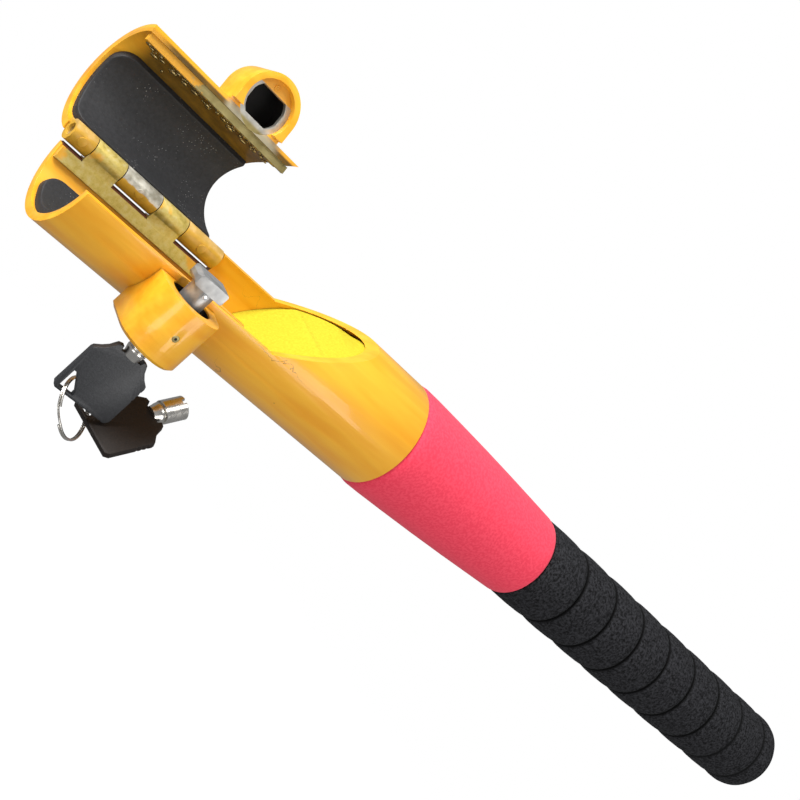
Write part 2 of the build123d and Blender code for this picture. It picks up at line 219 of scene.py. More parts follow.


# Enamel: thick and wet-looking, with runs along the tube that streak the highlight, orange peel
# in cells of 1.5 mm, painted brown shade in the corners, and a few chips and fine cracks that
# show dark.
enamel = material_named("yellow_enamel", "#FFB42C", 0.34, extra={
    "IOR": 1.5, "Specular IOR Level": 0.4, "Coat Weight": 0.4, "Coat Roughness": 0.08})
place = add_node(enamel, "ShaderNodeTexCoord").outputs["Object"]
along_tube = add_node(enamel, "ShaderNodeMapping", {"Scale": (0.12, 1.0, 1.0)}, {"Vector": place})
runs = noise(enamel, 170.0, 2.0, along_tube.outputs[0])
# Painted highlight: the runs also lighten the colour in streaks along the tube.
painted_highlight_streaks = joined(enamel, "MULTIPLY", band(enamel, runs, 0.36, 0.64, curve="LINEAR"), 0.5)
uneven_tone_and_highlight_streaks = joined(enamel, "MULTIPLY_ADD", noise(enamel, 38.0, 3.0, place), 0.5, painted_highlight_streaks)
tint = mixed(enamel, uneven_tone_and_highlight_streaks, "#F29F10", "#FFC034")
# Painted shade: the colour turns dark brown deep in the corners, found by ambient occlusion.
tint_with_corner_shade = mixed(enamel, painted_corner_shade(enamel, 2.2 * MM, 0.3, 0.62, 0.75, "LINEAR"), tint, "#7A4A10")

wander = add_node(enamel, "ShaderNodeTexNoise", {"Scale": 130.0, "Detail": 4.0}, {"Vector": place})
wandered = add_node(enamel, "ShaderNodeVectorMath",
                    {"operation": "MULTIPLY_ADD", 1: (0.012, 0.012, 0.012)},
                    {0: wander.outputs["Color"], 2: place})
network = add_node(enamel, "ShaderNodeTexVoronoi", {"feature": "DISTANCE_TO_EDGE", "Scale": 34.0},
                   {"Vector": wandered.outputs[0]})
crack_width = band(enamel, noise(enamel, 21.0, 1.0, place), 0.5, 0.6, 0.0, 0.0045, "LINEAR")
at_x = add_node(enamel, "ShaderNodeSeparateXYZ", links={0: place}).outputs["X"]
near_mouth = joined(enamel, "MULTIPLY",
                    band(enamel, at_x, 40.0 * MM, 48.0 * MM, curve="LINEAR"),
                    band(enamel, at_x, 66.0 * MM, 72.0 * MM, 1.0, 0.0, "LINEAR"))
cracked = joined(enamel, "LESS_THAN", network.outputs["Distance"],
                 joined(enamel, "MULTIPLY", crack_width, near_mouth))

dots = add_node(enamel, "ShaderNodeTexVoronoi", {"Scale": 165.0, "Randomness": 1.0},
                {"Vector": place})
dot_size = band(enamel, noise(enamel, 60.0, 2.0, place), 0.6, 0.76, 0.0, 0.16, "LINEAR")
chipped = joined(enamel, "LESS_THAN", dots.outputs["Distance"], dot_size)
damage = joined(enamel, "MULTIPLY", joined(enamel, "MAXIMUM", cracked, chipped), 0.5)
feed(enamel, "Base Color", mixed(enamel, damage, tint_with_corner_shade, "#4A3010"))
run_bump = bumped(enamel, runs, 0.8, 0.5 * MM)
bumped(enamel, noise(enamel, 650.0, 2.0, place), 0.3, 0.03 * MM, run_bump)

for painted, width in (("body_tube", 1.6), ("lock_boss", 1.1), ("wall_lip", 0.5),
                       ("catch_boss", 1.1)):
    dress(painted, enamel, width)

# Inside of the upper jaw. The same enamel, but the strip along the free edge was welded on after
# painting. That burned the coat beside it to a dark olive brown, and scraped the edge face bare.
hinge = next(j for j in frame["joints"] if j["name"] == "jaw_hinge")
hinge_point = Vector(hinge["pos_m"])
open_angle = math.radians(hinge["range_deg"][1])


def closed_place(material):
    # Object coordinates turned back to where the upper jaw lies when it is shut, and their axes.
    here = add_node(material, "ShaderNodeTexCoord").outputs["Object"]
    turned = add_node(material, "ShaderNodeVectorRotate",
                      {"rotation_type": "X_AXIS", "Center": hinge_point, "Angle": open_angle},
                      {"Vector": here}).outputs[0]
    return turned, add_node(material, "ShaderNodeSeparateXYZ", links={0: turned}).outputs


def off_axis(material, vector):
    # Distance from the tube's axis.
    across = add_node(material, "ShaderNodeVectorMath", {"operation": "MULTIPLY", 1: (0, 1, 1)},
                      {0: vector}).outputs[0]
    return add_node(material, "ShaderNodeVectorMath", {"operation": "LENGTH"},
                    {0: across}).outputs["Value"]


shell_enamel = enamel.copy()
shell_enamel.name = "yellow_enamel_scorched_inside"
shell_shader = shell_enamel.node_tree.nodes["Principled BSDF"]
sound_paint = shell_shader.inputs["Base Color"].links[0].from_socket
shut, axis = closed_place(shell_enamel)
inside = band(shell_enamel, off_axis(shell_enamel, shut), 21.4 * MM, 22.3 * MM, 1.0, 0.0)
free_side = band(shell_enamel, axis["Y"], -14.0 * MM, -11.0 * MM, 1.0, 0.0)
past_front = band(shell_enamel, axis["X"], -37.0 * MM, -27.0 * MM, 0.25, 1.0)
scorch = joined(shell_enamel, "MULTIPLY", joined(shell_enamel, "MULTIPLY", inside, free_side),
                past_front)
smear = add_node(shell_enamel, "ShaderNodeMapping", {"Scale": (0.3, 1.0, 1.0)}, {"Vector": shut})
burned = mixed(shell_enamel, noise(shell_enamel, 420.0, 5.0, smear.outputs[0]),
               "#1E1606", "#8C681C")
scorched = mixed(shell_enamel, scorch, sound_paint, burned)
edge_face = band(shell_enamel, axis["Z"], 0.4 * MM, 0.7 * MM, 1.0, 0.0)
beside_catch = joined(shell_enamel, "MULTIPLY",
                      band(shell_enamel, axis["X"], -3.0 * MM, 1.0 * MM),
                      band(shell_enamel, axis["X"], 24.0 * MM, 29.0 * MM, 0.9, 0.0))
scrape = joined(shell_enamel, "MULTIPLY", edge_face, beside_catch)
feed(shell_enamel, "Base Color", mixed(shell_enamel, scrape, scorched, "#A9A187"))
dress("upper_shell", shell_enamel, 0.7)

# Hinge. A zinc-plated strip with rolled knuckles is welded inside the lower jaw. The plating has
# gone olive gold: stained, oversprayed in patches, with a milled grain, and painted dark in the
# corners as shade.
plated = material_named("yellow_zinc_plating", "#B7A455", 0.45, 0.5)
stain = noise(plated, 420.0, 6.0, roughness=0.7)
tone = add_node(plated, "ShaderNodeValToRGB", links={0: stain})
tone.color_ramp.elements[0].position = 0.25
tone.color_ramp.elements[0].color = linear("#B39A3E")
tone.color_ramp.elements[1].position = 0.82
tone.color_ramp.elements[1].color = linear("#DDD3A4")
tone.color_ramp.elements.new(0.5).color = linear("#D2BC66")
spray = noise(plated, 75.0, 3.0)
sprayed = mixed(plated, band(plated, spray, 0.56, 0.64, 0.0, 0.85), tone.outputs[0], "#E8A51E")
# Painted shade: dark brown and less metallic deep in the corners, by ambient occlusion.
corner_shade = painted_corner_shade(plated, 1.6 * MM, 0.25, 0.6, 0.85)
feed(plated, "Base Color", mixed(plated, corner_shade, sprayed, "#4A3210"))
feed(plated, "Metallic", joined(plated, "SUBTRACT", band(plated, spray, 0.56, 0.64, 0.5, 0.0),
                                corner_shade))
feed(plated, "Roughness", band(plated, stain, 0.3, 0.7, 0.38, 0.6))
bumped(plated, noise(plated, 900.0, 4.0), 0.5, 0.05 * MM)
dress("hinge_leaf", plated, 0.7)

# The knuckles of the upper jaw, welded to it, were sprayed with it: yellow low down and at both
# ends of the hinge, rubbed back to grey zinc along the top of the middle one.
knuckle = material_named("oversprayed_zinc", "#C8C5BC", 0.42, 0.5)
place = add_node(knuckle, "ShaderNodeTexCoord").outputs["Object"]
axis = add_node(knuckle, "ShaderNodeSeparateXYZ", links={0: place}).outputs
rubbed = noise(knuckle, 260.0, 5.0, place)
in_middle = joined(knuckle, "MULTIPLY", band(knuckle, axis["X"], -17.0 * MM, -14.5 * MM),
                   band(knuckle, axis["X"], 3.0 * MM, 6.0 * MM, 1.0, 0.0))
ragged_height = joined(knuckle, "MULTIPLY_ADD", rubbed, 2.4 * MM, axis["Z"])
high_up = band(knuckle, ragged_height, 3.7 * MM, 4.1 * MM)
very_high = band(knuckle, ragged_height, 5.6 * MM, 6.6 * MM, 0.0, 0.22)
rubbed_bare = joined(knuckle, "MAXIMUM", joined(knuckle, "MULTIPLY", in_middle, high_up),
                     very_high)
zinc_tint = mixed(knuckle, band(knuckle, rubbed, 0.35, 0.65), "#989382", "#D2CEC0")
spray_tint = mixed(knuckle, rubbed, "#A98420", "#EBB23A")
# Painted shade: the colour turns dark brown deep in the corners, by ambient occlusion.
feed(knuckle, "Base Color", mixed(knuckle, painted_corner_shade(knuckle, 1.6 * MM, 0.25, 0.6, 0.85),
                                  mixed(knuckle, rubbed_bare, spray_tint, zinc_tint), "#4A3210"))
feed(knuckle, "Metallic", band(knuckle, rubbed_bare, 0.3, 1.0, 0.0, 0.4))
bumped(knuckle, rubbed, 0.5, 0.06 * MM)
dress("upper_knuckles", knuckle, 1.0)
dress("knuckle_welds", knuckle, 0.3)

# Slot burrs. The slots that the knuckles pass through were cut in the tube after painting, and
# left a rusty burr of the tube's own steel along the foot of each.
HINGE_SLOTS = ((-37.6, -29.1), (-14.6, 3.2), (17.3, 36.0))
BURR_WIDTH, BURR_HEIGHT = 3.6, 0.7


def add_piece(name, mesh, body, material, sharp=32):
    data = bpy.data.meshes.new(name)
    mesh.to_mesh(data)
    mesh.free()
    data.materials.append(material)
    for polygon in data.polygons:
        polygon.use_smooth = True
    data.set_sharp_from_angle(angle=math.radians(sharp))
    piece = bpy.data.objects.new(name, data)
    bpy.context.scene.collection.objects.link(piece)
    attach(piece, body)
    return piece


def mottled(material, scale, detail, dark, light, strength=0.0, depth=0.0):
    # Two tints mixed by one noise, which raises the surface too if a depth is given.
    grain = noise(material, scale, detail)
    feed(material, "Base Color", mixed(material, grain, dark, light))
    if depth:
        bumped(material, grain, strength, depth)


# Rust: dull red-brown in small dark and light blooms, scaly to the touch.
rust = material_named("rust_brown_cut_steel", "#4A2512", 0.6)
mottled(rust, 500.0, 4.0, "#2A150C", "#84401E", 0.5, 0.08 * MM)
burrs = bmesh.new()
for slot_start, slot_end in HINGE_SLOTS:
    size = Vector(((slot_end - slot_start) * MM, BURR_WIDTH * MM, BURR_HEIGHT * MM))
    middle = Vector(((slot_start + slot_end) / 2 * MM, 21.7 * MM, -2.95 * MM))
    shape = Matrix.Translation(middle) @ Matrix.Diagonal(size).to_4x4()
    bar = bmesh.ops.create_cube(burrs, size=1.0, matrix=shape)["verts"]
    edges = [e for e in burrs.edges if e.verts[0] in bar and e.verts[1] in bar]
    bmesh.ops.bevel(burrs, geom=edges, offset=0.2 * MM, segments=2, affect="EDGES", profile=0.5,
                    material=-1)
add_piece("slot_burrs", burrs, "body", rust)

# Hinge pin, bolt pin and the lock's springs. Hard steel, pressed or dropped in place.
# Ground steel: bright and smooth, with the fine marks of the wheel.
ground_steel = material_named("ground_steel", "#C9CACB", 0.25, 1.0)
bumped(ground_steel, noise(ground_steel, 700.0, 2.0), 0.2, 0.02 * MM)
for small in ("hinge_pin", "bolt_pin", "pin_springs"):
    dress(small, ground_steel, 0.15)

# Jaw pads. Sheets of 3 mm moulded rubber glued into each half of the jaw, with rounded front
# corners. The upper one ends in the same curved bite as the upper jaw.
TUBE_BORE = 21.15 * MM
PAD_THICK = 3.0 * MM
jaw_opened = (Matrix.Translation(hinge_point) @ Matrix.Rotation(-open_angle, 4, "X")
              @ Matrix.Translation(-hinge_point))


def curved_pad(x0, x1, first, last, corner, end_at=None, shift=0.0):
    # A flat pad from x0 to x1 is cut out, its corners and rim rounded, and then it is bent into
    # the bore, from the first to the last angle in degrees. end_at moves its inner end.
    reach = TUBE_BORE * math.radians(last - first)
    pad = bmesh.new()
    ring = [pad.verts.new(p) for p in ((x0, 0, 0), (x1, 0, 0), (x1, reach, 0), (x0, reach, 0))]
    pad.faces.new(ring)
    bmesh.ops.bevel(pad, geom=[ring[0], ring[3]], offset=corner, segments=8, affect="VERTICES",
                    profile=0.5, material=-1)
    back = [v for v in pad.verts if abs(v.co.x - x1) < 1e-6]
    bmesh.ops.bevel(pad, geom=back, offset=1.2 * MM, segments=3, affect="VERTICES",
                    profile=0.5, material=-1)
    face = pad.faces[:]
    grown = bmesh.ops.extrude_face_region(pad, geom=face)
    top = [g for g in grown["geom"] if isinstance(g, bmesh.types.BMVert)]
    bmesh.ops.translate(pad, verts=top, vec=(0, 0, PAD_THICK))
    rim = [e for e in pad.edges if all(v.co.z > PAD_THICK / 2 for v in e.verts)]
    bmesh.ops.bevel(pad, geom=rim, offset=0.5 * MM, segments=3, affect="EDGES", profile=0.5,
                    material=-1)
    for axis, start, stop, pitch in ((1, 0.0, reach, 1.0 * MM), (0, x0, x1, 2.5 * MM)):
        for i in range(1, int((stop - start) / pitch)):
            spot = [0.0, 0.0, 0.0]
            spot[axis] = start + i * pitch
            normal = [0.0, 0.0, 0.0]
            normal[axis] = 1.0
            everything = pad.verts[:] + pad.edges[:] + pad.faces[:]
            bmesh.ops.bisect_plane(pad, geom=everything, plane_co=spot, plane_no=normal,
                                   dist=1e-7)
    for v in pad.verts:
        angle = math.radians(first) + v.co.y / TUBE_BORE
        radius = TUBE_BORE - v.co.z
        across, up = radius * math.cos(angle) + shift, radius * math.sin(angle)
        x = v.co.x
        if end_at is not None:
            x = x0 + (x - x0) * (end_at(across) - x0) / (x1 - x0)
        v.co = (x, across, up)
    bmesh.ops.recalc_face_normals(pad, faces=pad.faces)
    return pad


# Moulded rubber: nearly black, matt, with a fine pebble of about 0.4 mm and pale dust specks.
rubber = material_named("moulded_rubber", "#333336", 0.62, extra={"Specular IOR Level": 0.35})
place = add_node(rubber, "ShaderNodeTexCoord").outputs["Object"]
dots = add_node(rubber, "ShaderNodeTexVoronoi", {"Scale": 850.0}, {"Vector": place})
dot_size = band(rubber, noise(rubber, 90.0, 3.0, place), 0.42, 0.75, 0.0, 0.24, "LINEAR")
dust = joined(rubber, "MULTIPLY",
              joined(rubber, "LESS_THAN", dots.outputs["Distance"], dot_size), 0.4)
mottle = mixed(rubber, noise(rubber, 700.0, 5.0, place, 0.7), "#121212", "#3B3B3D")
feed(rubber, "Base Color", mixed(rubber, dust, mottle, "#A8A8A6"))
bumped(rubber, noise(rubber, 2200.0, 2.0, place), 0.5, 0.06 * MM)

lower_shape = curved_pad(x0=-36.4 * MM, x1=35.9 * MM, first=208.2, last=321.8, corner=7 * MM)
lower_pad = add_piece("lower_jaw_pad", lower_shape, "body", rubber, 40)
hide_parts("lower_pad")

BITE_CENTRE, BITE_RADIUS = 51.0 * MM, 26.6 * MM


def bite(across):
    # Where the round bite at the inner end of the upper jaw meets a line along it.
    return BITE_CENTRE - math.sqrt(BITE_RADIUS ** 2 - across ** 2)


upper_shape = curved_pad(x0=-37.9 * MM, x1=30.0 * MM, first=23.7, last=133.8, corner=8 * MM,
                         end_at=bite, shift=1.0 * MM)
bmesh.ops.transform(upper_shape, matrix=jaw_opened, verts=upper_shape.verts)
upper_pad = add_piece("upper_jaw_pad", upper_shape, "upper_jaw", rubber, 40)
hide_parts("upper_pad")

# Mouth plug. A push-in cylinder of bright yellow open-cell foam that shuts the tube behind the
# jaw, trimmed flush with the slanted mouth. One side has shrunk and leaves a dark slit.
PLUG_RADIUS, PLUG_LENGTH, PLUG_MIDDLE = 20.95, 76.8, 79.6
MOUTH_CUTS = ((63.6, 1.03), (55.6, 0.55))
CREASE_HEIGHT = 9.9
SLIT_AT, SLIT_SPREAD, SLIT_DEPTH = 68.0, 15.0, 0.055
plug_shape = bmesh.new()
bmesh.ops.create_cone(plug_shape, cap_ends=True, segments=128, radius1=PLUG_RADIUS * MM,
                      radius2=PLUG_RADIUS * MM, depth=PLUG_LENGTH * MM)
bmesh.ops.rotate(plug_shape, verts=plug_shape.verts, cent=(0, 0, 0),
                 matrix=Matrix.Rotation(math.pi / 2, 3, "Y"))
bmesh.ops.translate(plug_shape, verts=plug_shape.verts, vec=(PLUG_MIDDLE * MM, 0, 0))
for at_axis, slope in MOUTH_CUTS:
    everything = plug_shape.verts[:] + plug_shape.edges[:] + plug_shape.faces[:]
    bmesh.ops.bisect_plane(plug_shape, geom=everything, plane_co=(at_axis * MM, 0, 0),
                           plane_no=Vector((-slope, 0.0, 1.0)), clear_outer=True)
    bmesh.ops.holes_fill(plug_shape, edges=[e for e in plug_shape.edges if e.is_boundary])
crease = [e for e in plug_shape.edges if len(e.link_faces) == 2
          and all(abs(v.co.z - CREASE_HEIGHT * MM) < 1.5 * MM for v in e.verts)
          and abs(e.verts[0].co.y - e.verts[1].co.y) > 20 * MM]
bmesh.ops.bevel(plug_shape, geom=crease, offset=14 * MM, segments=10, affect="EDGES",
                profile=0.5, material=-1)
for v in plug_shape.verts:
    around = math.degrees(math.atan2(v.co.z, v.co.y))
    past_mouth = min(max((v.co.x / MM - 74.0) / 6.0, 0), 1)
    shrink = math.exp(-((around - SLIT_AT) / SLIT_SPREAD) ** 2) * past_mouth
    v.co.y *= 1.0 - SLIT_DEPTH * shrink
    v.co.z *= 1.0 - SLIT_DEPTH * shrink
bmesh.ops.triangulate(plug_shape, faces=[f for f in plug_shape.faces if len(f.verts) > 4])
# Open-cell foam: lemon yellow, quite without shine, with cells of about 1 mm.
yellow_foam = material_named("lemon_open_cell_foam", "#F0DF20", 0.97,
                             extra={"Specular IOR Level": 0.15})
mottled(yellow_foam, 1100.0, 3.0, "#B3A41C", "#DACC38", 0.8, 0.2 * MM)
plug = add_piece("mouth_foam", plug_shape, "body", yellow_foam)
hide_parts("mouth_plug")

# Lock. A tubular pin lock: brass barrel pinned into the painted boss, seven pin stacks, and a
# spindle that turns the zinc-plated T-bolt.
# Machined brass: warm, bright and slightly uneven in tone.
brass = material_named("machined_brass", "#C8A75A", 0.3, 1.0)
mottled(brass, 500.0, 2.0, "#B08E45", "#DCC07A")
for inner, width in (("lock_barrel", 0.3), ("pin_sleeve", 0.2), ("driver_pins", 0.1),
                     ("key_pins", 0.1), ("lock_spindle", 0.2)):
    dress(inner, brass, width)

# Zinc plate: pale grey and half bright, mottled by wear, with shallow dents.
zinc = material_named("bright_zinc_plate", "#D0D0CE", 0.4, 0.7)
mottled(zinc, 260.0, 5.0, "#6E6E6D", "#D2D2D0", 0.35, 0.08 * MM)
dress("t_bolt", zinc, 0.7)

# Shadow linings. The drilled bore above the barrel and the pocket of the catch were never
# painted, and greased black scale shows in both; their shade is painted too: thin near-black cups
# stand just off the walls.
# Black scale, near black as painted shade: almost no light comes back from it, with a hint of
# brown flakes.
shade_black_scale = material_named("black_scale_painted_shade", "#0B0908", 0.7)
mottled(shade_black_scale, 400.0, 4.0, "#040303", "#1A1410")
LOCK_AT = Vector((12.0 * MM, -30.5 * MM, 0.0))


def spun(points, centre, axis, steps):
    # Spins a line of points about an axis into a closed shape.
    shape = bmesh.new()
    line = [shape.verts.new(p) for p in points]
    for first, second in zip(line, line[1:]):
        shape.edges.new((first, second))
    bmesh.ops.spin(shape, geom=shape.verts[:] + shape.edges[:], cent=centre, axis=axis,
                   angle=2 * math.pi, steps=steps, use_merge=True)
    bmesh.ops.remove_doubles(shape, verts=shape.verts, dist=1e-6)
    bmesh.ops.recalc_face_normals(shape, faces=shape.faces)
    return shape


def turned_on_lock(profile, steps=64):
    # Spins a profile of (radius, height), in mm, about the axis of the lock.
    points = [(LOCK_AT.x + r * MM, LOCK_AT.y, z * MM) for r, z in profile]
    return spun(points, LOCK_AT, (0, 0, 1), steps)


bore_shape = turned_on_lock([(5.4, -6.9), (8.45, -6.9), (8.45, -3.4), (8.25, -3.4), (8.25, -6.7),
                             (5.4, -6.7), (5.4, -6.9)])
add_piece("lock_bore_shade_lining", bore_shape, "body", shade_black_scale)
pocket_shape = turned_on_lock([(0.0, 11.95), (10.45, 11.95), (10.45, 2.7), (10.25, 2.7),
                               (10.25, 11.75), (0.0, 11.75)])
bmesh.ops.transform(pocket_shape, matrix=jaw_opened, verts=pocket_shape.verts)
add_piece("catch_shade_lining", pocket_shape, "upper_jaw", shade_black_scale)

# Rim of the cross pin in the T-bolt, and the punch mark in the pin that holds the barrel. Both
# face the lock side.
def facing_lock_side(shape, at):
    # Takes a shape that was spun on the lock's axis, turns it over and puts it in place.
    bmesh.ops.translate(shape, verts=shape.verts, vec=-LOCK_AT)
    bmesh.ops.rotate(shape, verts=shape.verts, cent=(0, 0, 0),
                     matrix=Matrix.Rotation(math.pi / 2, 3, "X"))
    bmesh.ops.translate(shape, verts=shape.verts, vec=Vector(at) * MM)
    return shape


rim = turned_on_lock([(0.0, 0.0), (1.15, 0.0), (1.15, 0.45), (0.75, 0.45), (0.75, 0.12),
                      (0.0, 0.12)], 24)
add_piece("cross_pin_rim", facing_lock_side(rim, (12.0, -35.05, 1.8)), "lock_core", zinc)
# The punch mark's dent is painted as its shade: a thin near-black disc on the pin.
mark = turned_on_lock([(0.0, 0.0), (0.5, 0.0), (0.5, 0.08), (0.0, 0.12)], 20)
add_piece("pin_punch_mark", facing_lock_side(mark, (11.4, -43.62, -13.3)), "body", shade_black_scale)

# Keeper plate. A strip of bare steel along the free edge of the upper jaw, welded by hand, with
# the slotted plate inside the catch that the T-bolt turns behind.
# Bare steel: olive heat tints on the strip, clean grey on the plate, paint at the front end.
bare = material_named("bare_steel", "#A9A695", 0.5, 0.8)
shut, axis = closed_place(bare)
marks = noise(bare, 220.0, 6.0, shut)
on_plate = band(bare, axis["Y"], -23.0 * MM, -21.5 * MM, 1.0, 0.0)
steel_tint = mixed(bare, on_plate, mixed(bare, marks, "#75652C", "#CDBE86"),
                   mixed(bare, marks, "#8F8C80", "#E2E0D8"))
ragged_front = joined(bare, "MULTIPLY_ADD", marks, 34.0 * MM, axis["X"])
paint_share = joined(bare, "MAXIMUM", band(bare, ragged_front, 1.0 * MM, 5.0 * MM, 0.9, 0.0),
                     band(bare, axis["Y"], -36.6 * MM, -36.2 * MM, 0.95, 0.0))
feed(bare, "Base Color", mixed(bare, paint_share, steel_tint, "#E9A414"))
feed(bare, "Metallic", band(bare, paint_share, 0.2, 0.6, 0.75, 0.0))
bumped(bare, marks, 0.5, 0.15 * MM)
dress("keeper_plate", bare, 0.3)

# Barrel pin, tube adapter and handle tube. Uncoated steel too: the pin is driven through boss and
# barrel, the ring between the two tubes and the thin handle tube are pressed in.
for hidden, width in (("barrel_pin", 0.25), ("tube_adapter", 0.3), ("handle_tube", 0.3)):
    dress(hidden, bare, width)

# Weld spatter. Balls of steel thrown on the inside of the shell when the strip was welded on,
# stuck down and half burned. Angles are round the tube, with the jaw shut.
SPATTER_COUNT = 170
STRIP_SHARE, STRIP_ANGLE, STRIP_RADIUS = 0.55, 173.6, 18.25
SHELL_ANGLE, SHELL_SPREAD, SHELL_RADIUS = 153.0, 3.6, 20.95
# Burned steel: dark brown slag with bright metal showing through.
spatter_metal = material_named("burned_weld_steel", "#7A683C", 0.25, 0.85)
mottled(spatter_metal, 600.0, 4.0, "#2A1E0A", "#CDB880", 0.7, 0.15 * MM)
random.seed(7)
spatter = bmesh.new()
for i in range(SPATTER_COUNT):
    along_jaw = random.uniform(-34.0, 31.0)
    on_strip = random.random() < STRIP_SHARE
    lean = math.radians(STRIP_ANGLE if on_strip else random.gauss(SHELL_ANGLE, SHELL_SPREAD))
    wall = STRIP_RADIUS if on_strip else SHELL_RADIUS
    ball = bmesh.ops.create_icosphere(spatter, subdivisions=2,
                                      radius=random.uniform(0.2, 0.8) * MM)
    stretch = Vector((random.uniform(0.8, 3.0), 1.0, 0.5))
    bmesh.ops.scale(spatter, verts=ball["verts"], vec=stretch)
    bmesh.ops.rotate(spatter, verts=ball["verts"], cent=(0, 0, 0),
                     matrix=Matrix.Rotation(lean - math.pi / 2, 3, "X"))
    bmesh.ops.translate(spatter, verts=ball["verts"],
                        vec=(along_jaw * MM, (wall * math.cos(lean) + 1.0) * MM,
                             (wall * math.sin(lean) + 0.5 * on_strip) * MM))
bmesh.ops.transform(spatter, matrix=jaw_opened, verts=spatter.verts)
add_piece("weld_spatter", spatter, "upper_jaw", spatter_metal)

# Rivet in the outer side of the catch plate: a rolled ring round a small dot.
rivet = turned_on_lock([(0.0, 0.7), (1.25, 0.7), (1.25, 0.35), (1.05, 0.2), (0.75, 0.35),
                        (0.7, 0.5), (0.45, 0.5), (0.3, 0.3), (0.0, 0.25)], 28)
bmesh.ops.translate(rivet, verts=rivet.verts, vec=(-0.8 * MM, -7.8 * MM, 0.0))
bmesh.ops.transform(rivet, matrix=jaw_opened, verts=rivet.verts)
add_piece("catch_rivet", rivet, "upper_jaw", bare)

# Keys. Two identical tubular keys: a plated steel barrel pressed into a moulded black bow with a
# three-sided hole for the ring. One is in the lock and one hangs from the ring.
# Matt black plastic: a slight grey sheen over a fine moulded grain.
key_plastic = material_named("matt_black_plastic", "#2E2F32", 0.42)
mottled(key_plastic, 1400.0, 4.0, "#242425", "#3B3C3F", 0.6, 0.08 * MM)
# Plastic of the spare key: the same plastic, painted darker and browner as shade, and duller.
spare_plastic_shaded = material_named("shaded_brown_black_plastic", "#2E2F32", 0.58,
                               extra={"Specular IOR Level": 0.3})
mottled(spare_plastic_shaded, 1400.0, 4.0, "#14100D", "#2E241D", 0.6, 0.08 * MM)
# Polished nickel: a warm mirror, dulled here and there by handling.
nickel = material_named("polished_nickel", "#E0DCD4", 0.16, 1.0)
feed(nickel, "Roughness", band(nickel, noise(nickel, 350.0, 4.0), 0.3, 0.7, 0.17, 0.34))

# Half outlines of the bow as (across, down), in mm: the shoulder, either side, and the foot.
BOW_THICK = 2.6
bow_half = [(4.5, 1.6), (4.9, 0.0), (6.6, 0.4), (8.2, 3.2), (10.0, 5.0), (12.3, 6.6)]
bow_serrated = [(12.7, 7.6), (12.7, 9.0), (12.5, 9.3), (12.5, 9.8), (12.7, 10.1), (12.7, 11.0),
                (12.5, 11.3), (12.5, 11.8), (12.7, 12.1), (12.7, 13.0), (12.5, 13.3),
                (12.5, 13.8), (12.7, 14.1)]
bow_foot = [(12.7, 24.6), (11.5, 26.2)]
bow_plain = [(12.7, 7.6)]
bow_hole = [(-10.9, 17.4), (-9.4, 17.4), (-4.6, 23.6), (-4.6, 24.9), (-10.9, 24.9)]


def key_bow():
    # Outline and hole are filled flat, pulled to thickness, and the edges rounded.
    bow = bmesh.new()
    left = [(-u, v) for u, v in reversed(bow_half + bow_plain + bow_foot)]
    for outline in (bow_half + bow_serrated + bow_foot + left, bow_hole):
        loop = [bow.verts.new((u * MM, -BOW_THICK / 2 * MM, -v * MM)) for u, v in outline]
        for first, second in zip(loop, loop[1:] + loop[:1]):
            bow.edges.new((first, second))
    bmesh.ops.triangle_fill(bow, edges=bow.edges[:], use_beauty=True)
    bmesh.ops.dissolve_limit(bow, angle_limit=0.01, verts=bow.verts[:], edges=bow.edges[:])
    grown = bmesh.ops.extrude_face_region(bow, geom=bow.faces[:])
    top = [g for g in grown["geom"] if isinstance(g, bmesh.types.BMVert)]
    bmesh.ops.translate(bow, verts=top, vec=(0, BOW_THICK * MM, 0))
    bmesh.ops.recalc_face_normals(bow, faces=bow.faces)
    rim = [e for e in bow.edges if len(e.link_faces) == 2
           and abs(e.verts[0].co.y - e.verts[1].co.y) < 0.1 * MM and e.calc_face_angle(0) > 0.8]
    bmesh.ops.bevel(bow, geom=rim, offset=0.22 * MM, segments=2, affect="EDGES", profile=0.5,
                    material=-1, clamp_overlap=True)
    return bow


SHANK_STEPS = 48
TIP_BORE, TIP_OUTSIDE = 3.4, 4.4
NOTCH_FROM, TIP_END = 9.8, 11.2
NOTCH_STEPS = 3
shank_neck = [(0.0, -2.0), (3.1, -2.0), (3.4, -0.6), (3.8, 0.5), (3.95, 1.2), (3.8, 1.7),
              (3.5, 1.9), (3.5, 2.2), (4.2, 2.3)]
shank_tube = [(TIP_OUTSIDE, 2.5), (TIP_OUTSIDE, NOTCH_FROM), (TIP_OUTSIDE, TIP_END),
              (TIP_BORE, TIP_END), (TIP_BORE, NOTCH_FROM), (TIP_BORE, 2.6), (0.0, 2.6)]


